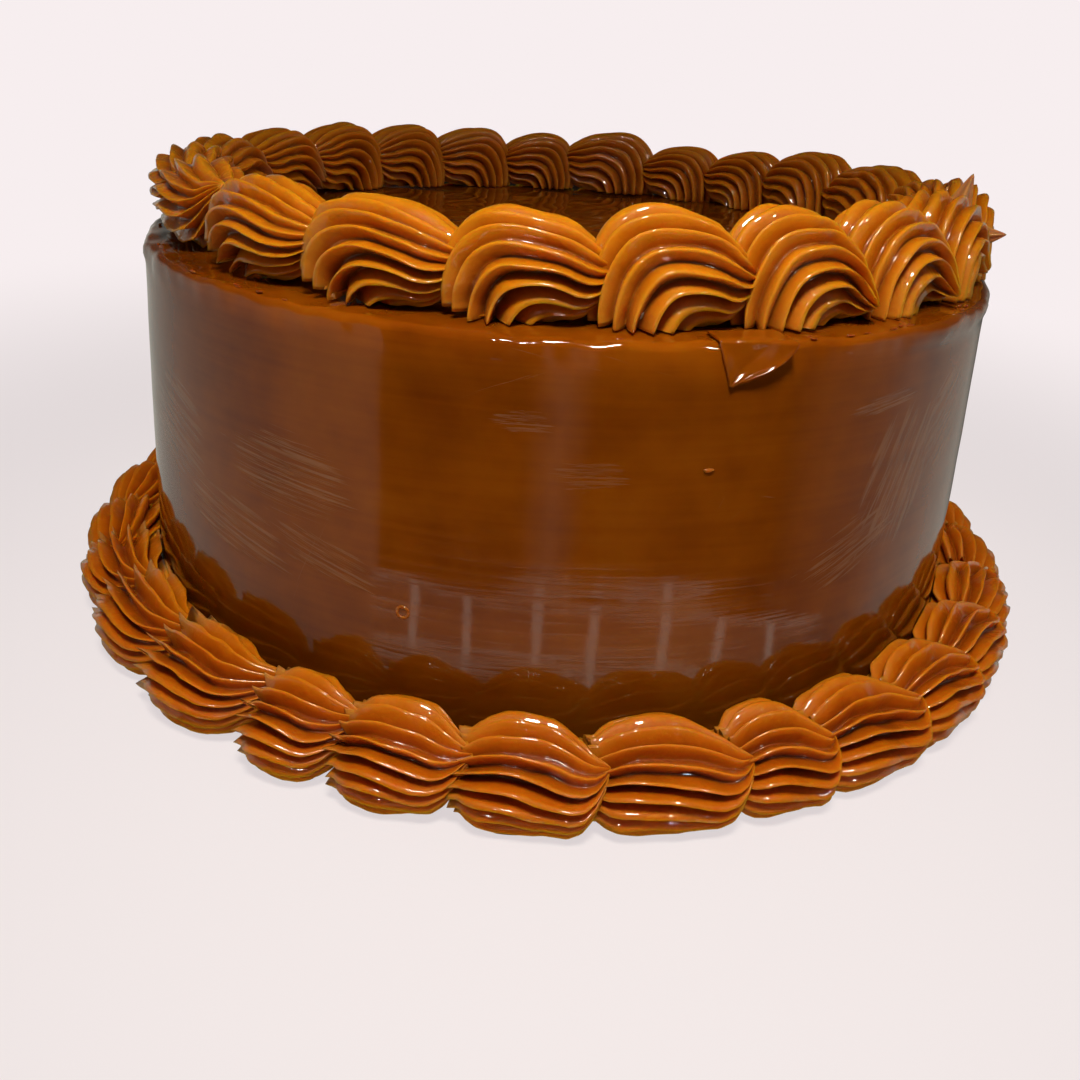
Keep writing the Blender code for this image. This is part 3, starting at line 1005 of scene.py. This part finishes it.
loosePaste = {
    "bits": 26,
    "bitTurns": [(208, 246), (296, 332), (0, 360)],    # where the bits lie, a third in each stretch
    "bitSize": (0.25, 0.6),
    "bitReach": (109.6, 112.2),
    "bitLevel": 99.75,
    "bitTone": 0.05,
    # turn in degrees, reach and height in mm
    "fleck": (285.7, 113.35, 74.2),
    "fleckSize": (0.35 * mm, 1.1 * mm, 0.45 * mm),
    "bubble": (255.5, 113.95, 38.7),
    "bubbleRing": (1.25 * mm, 0.42 * mm),
    "bubbleRipples": (0.22 * mm, 1.4 * mm),
    "fleckTone": 0.12,
}


def addLump(place, size, turn, rng):
    lump = newBall("lump", 20, 10)[0]
    points = readPoints(lump)
    points = points * (1 + 0.16 * wobble(points, 1.6, rng, 5))[:, None] * np.array(size)
    turned = math.radians(turn)
    along, aside = [math.cos(turned), math.sin(turned), 0], [-math.sin(turned), math.cos(turned), 0]
    writePoints(lump, points @ np.array([along, aside, [0, 0, 1]]) + place)
    return lump


def joinLumps(lumps, name, material, slot, tone):
    deselectAll()
    for lump in lumps:
        lump.select_set(True)
    bpy.context.view_layer.objects.active = lumps[0]
    bpy.ops.object.join()
    joined = newest(name)
    plain = np.zeros(len(joined.data.vertices))
    writeTones(joined, plain + tone, plain)
    finishPiece(joined, material, slot)


def buildLoosePaste():
    rng = np.random.default_rng(47)
    bits = []
    for _ in range(loosePaste["bits"]):
        turn = rng.choice([rng.uniform(*turns) for turns in loosePaste["bitTurns"]])
        size = rng.uniform(*loosePaste["bitSize"])
        place = spot(turn, rng.uniform(*loosePaste["bitReach"]), loosePaste["bitLevel"])
        sizes = (size * 0.8 * mm, size * rng.uniform(1.2, 3.2) * mm, size * 0.5 * mm)
        bits.append(addLump(place, sizes, turn, rng))
    joinLumps(bits, "rimBits", basePaste, "base_paste", loosePaste["bitTone"])
    # a fleck and a burst bubble on the wall
    place = spot(*loosePaste["fleck"])
    fleck = addLump(place, loosePaste["fleckSize"], loosePaste["fleck"][0], rng)
    turn, reach, level = loosePaste["bubble"]
    way = spot(turn, 1.0, 0.0)
    ring, thick = loosePaste["bubbleRing"]
    bpy.ops.mesh.primitive_torus_add(
        major_segments=32, minor_segments=12, major_radius=ring, minor_radius=thick,
        location=spot(turn, reach, level), rotation=Vector(way).to_track_quat("Z", "Y").to_euler())
    bubble = bpy.context.object
    bpy.ops.object.transform_apply(location=True, rotation=True, scale=True)
    points = readPoints(bubble)
    writePoints(bubble, points + way * relief(points, rng, loosePaste["bubbleRipples"])[:, None])
    joinLumps([fleck, bubble], "wallFlecks", topPaste, "top_paste", loosePaste["fleckTone"])


buildLoosePaste()
print("leaf, strands and loose paste built")


# plain pale floor, which mirrors stay clear of

paleTone = (0.93, 0.855, 0.863)            # the far floor and the room, so that no edge shows between them

floorFinish = {
    "size": 12.0,
    "colour": (0.80, 0.76, 0.74),
    "roughness": 0.9,
    "shadowShare": 0.26,       # how much of the real shading shows close to the cake
    "shadowEdge": (0.15, 0.50),
}


def mixShaders(tree, share, first, second):
    return nodeAt(tree, "MixShader", {"Fac": share, 1: first, 2: second}).outputs["Shader"]


def buildFloor():
    finish = floorFinish
    bpy.ops.mesh.primitive_plane_add(size=finish["size"], location=(0, 0, 0))
    floor = newest("floor")
    material, tree, surface = newMaterial("paleFloor")
    feed(tree, surface, {"Base Color": (*finish["colour"], 1), "Roughness": finish["roughness"]})
    glow = nodeAt(tree, "Emission", {"Color": (*paleTone, 1)}).outputs["Emission"]
    # the shading fades out with the distance, so the floor has no edge
    away = lengthOf(tree, objectPlace(tree))
    fade = rescale(tree, away, *finish["shadowEdge"], 1 - finish["shadowShare"], 1.0, "SMOOTHSTEP")
    seen = nodeAt(tree, "LightPath").outputs["Is Camera Ray"]
    share = combine(tree, "MULTIPLY", seen, fade)
    both = mixShaders(tree, share, surface.outputs["BSDF"], glow)
    feed(tree, tree.nodes["Material Output"], {"Surface": both})
    layOut(tree)
    floor.data.materials.append(material)
    floor.visible_glossy = False
    deselectAll()


buildFloor()


# plain soft studio light. Only the spots show in the gloss, and the glints light nothing else

studioLights = {
    "key": {"kind": "SPOT", "place": (0.01, -0.40, 0.56), "aim": (0.005, -0.125, 0.07), "radius": 0.06,
            "cone": 42, "edge": 0.9, "power": 14.3, "colour": (1.0, 0.95, 0.86)},
    "glintRight": {"kind": "SPOT", "place": (0.46, -0.46, 0.42), "aim": (0.06, -0.07, 0.09), "radius": 0.018,
                   "cone": 32, "edge": 0.6, "power": 4.4, "colour": (1.0, 0.97, 0.92)},
    "glintLeft": {"kind": "SPOT", "place": (-0.18, -0.66, 0.50), "aim": (-0.03, -0.09, 0.08), "radius": 0.018,
                  "cone": 32, "edge": 0.6, "power": 3.2, "colour": (1.0, 0.97, 0.92)},
    "left": {"kind": "AREA", "place": (-0.95, -0.10, 0.28), "aim": (0, 0, 0.06), "size": (1.5, 0.62),
             "power": 1.1, "colour": (0.95, 0.97, 1.0)},
    "right": {"kind": "AREA", "place": (0.98, 0.12, 0.28), "aim": (0, 0, 0.06), "size": (1.3, 0.62),
              "power": 1.9, "colour": (0.97, 0.98, 1.0)},
    "back": {"kind": "AREA", "place": (0.1, 0.95, 0.17), "aim": (0, 0, 0.05), "size": (1.4, 0.4),
             "power": 7.0, "colour": (1.0, 0.95, 0.88)},
}


def placeLights():
    for name, light in studioLights.items():
        place = Vector(light["place"])
        turn = (place - Vector(light["aim"])).to_track_quat("Z", "Y").to_euler()
        bpy.ops.object.light_add(type=light["kind"], location=place, rotation=turn)
        lamp = newest(name + "Light")
        if light["kind"] == "AREA":
            lamp.data.shape = "RECTANGLE"
            lamp.data.size, lamp.data.size_y = light["size"]
        else:
            lamp.data.shadow_soft_size = light["radius"]
            lamp.data.spot_size = math.radians(light["cone"])
            lamp.data.spot_blend = light["edge"]
        lamp.data.energy = light["power"]
        lamp.data.color = light["colour"]
        lamp.visible_glossy = light["kind"] == "SPOT"
        lamp.visible_diffuse = not name.startswith("glint")
    deselectAll()


# what the gloss mirrors: two pale panels at the sides, a dim low strip and dark between.
# Degrees round the room start at the front and grow towards +X, heights are in degrees from level
mirrored = {
    "panels": [
        (-172, 0.0), (-156, 0.43), (-105, 0.38), (-70, 0.30), (-45.5, 0.29), (-43.5, 0.0), (-6, 0.0), (-2, 0.14),
        (2, 0.28), (6, 0.13), (10, 0.0), (60, 0.0), (74, 0.12), (92, 0.22), (102, 0.38), (126, 0.44), (142, 0.38),
        (158, 0.0),
    ],
    "panelHeights": [(-34.0, 0.0), (-31.8, 0.0), (-31.0, 1.0), (1.0, 1.0), (12, 0.15), (30, 0.04)],
    "strip": [
        (-32.2, 0.0), (-31.9, 1.0), (-31.0, 1.0), (-30.7, 0.22), (-27.9, 0.22), (-27.6, 1.0), (-27.1, 1.0),
        (-26.8, 0.0),
    ],
    "stripReach": [(-50, 0), (-44, 1), (76, 1), (84, 0)],
    "stripLines": [-34.3, -19.0, 0.1, 14.9, 33.0, 48.0, 64.0],
    "lineHeights": [(-32.2, 0), (-31.9, 1), (-27.6, 1), (-27.2, 0)],
    "lineProfile": [(-1.8, 0.0), (-0.84, 1.0), (0.84, 1.0), (1.8, 0.0)],
    "lineTone": 1.3,
    "rest": 0.008,
    "ragged": 1.1,             # how far the edges wander, in degrees
    "raggedScale": 9.0,
}


def angleTones(tree, angle, low, high, stops):
    share = rescale(tree, angle, math.radians(low), math.radians(high))
    tones = [((turn - low) / (high - low), (tone,) * 3) for turn, tone in stops]
    return ramp(tree, share, tones)


def mirroredRoom(tree):
    direction = nodeAt(tree, "TexCoord").outputs["Generated"]
    apart = nodeAt(tree, "SeparateXYZ", {"Vector": direction}).outputs
    waver = noiseAt(tree, direction, mirrored["raggedScale"], 5, Roughness=0.62)
    shift = combine(tree, "SUBTRACT", waver, 0.5)
    shift = combine(tree, "MULTIPLY", shift, math.radians(mirrored["ragged"]) * 2)
    front = combine(tree, "MULTIPLY", apart["Y"], -1)
    around = combine(tree, "ARCTAN2", apart["X"], front)
    around = combine(tree, "ADD", around, shift)
    level = combine(tree, "ARCSINE", apart["Z"])
    level = combine(tree, "ADD", level, shift)
    lines = [(turn + away, tone) for turn in mirrored["stripLines"] for away, tone in mirrored["lineProfile"]]
    panels = angleTones(tree, around, -180, 180, mirrored["panels"])
    panelHeights = angleTones(tree, level, -45, 45, mirrored["panelHeights"])
    strip = angleTones(tree, level, -35, -24, mirrored["strip"])
    stripReach = angleTones(tree, around, -60, 100, mirrored["stripReach"])
    lines = angleTones(tree, around, -50, 75, lines)
    lineHeights = angleTones(tree, level, -35, -24, mirrored["lineHeights"])
    side = combine(tree, "MULTIPLY", panels, panelHeights)
    band = combine(tree, "MULTIPLY", strip, stripReach)
    rungs = combine(tree, "MULTIPLY", lines, lineHeights)
    rungs = combine(tree, "MULTIPLY", rungs, mirrored["lineTone"])
    total = combine(tree, "MAXIMUM", side, band)
    total = combine(tree, "MAXIMUM", total, rungs)
    return combine(tree, "ADD", total, mirrored["rest"])


roomTones = {
    "fill": (1.0, 0.93, 0.84),
    "fillStrength": 0.06,
    "gloss": (1.0, 0.98, 0.86),
}


def background(tree, colour, strength):
    inputs = {"Color": (*colour, 1), "Strength": strength}
    return nodeAt(tree, "Background", inputs).outputs["Background"]


def paleRoom():
    world = bpy.data.worlds.new("paleRoom")
    bpy.context.scene.world = world
    world.use_nodes = True
    world.cycles.sampling_method = "NONE"
    tree = world.node_tree
    shown = tree.nodes["Background"]
    feed(tree, shown, {"Color": (*paleTone, 1)})
    fill = background(tree, roomTones["fill"], roomTones["fillStrength"])
    gloss = background(tree, roomTones["gloss"], mirroredRoom(tree))
    seen = nodeAt(tree, "LightPath").outputs
    soft = mixShaders(tree, seen["Is Glossy Ray"], fill, gloss)
    both = mixShaders(tree, seen["Is Camera Ray"], soft, shown.outputs["Background"])
    feed(tree, tree.nodes["World Output"], {"Surface": both})
    layOut(tree)


placeLights()
paleRoom()
bpy.context.scene.view_settings.view_transform = "Standard"
print("lights placed")
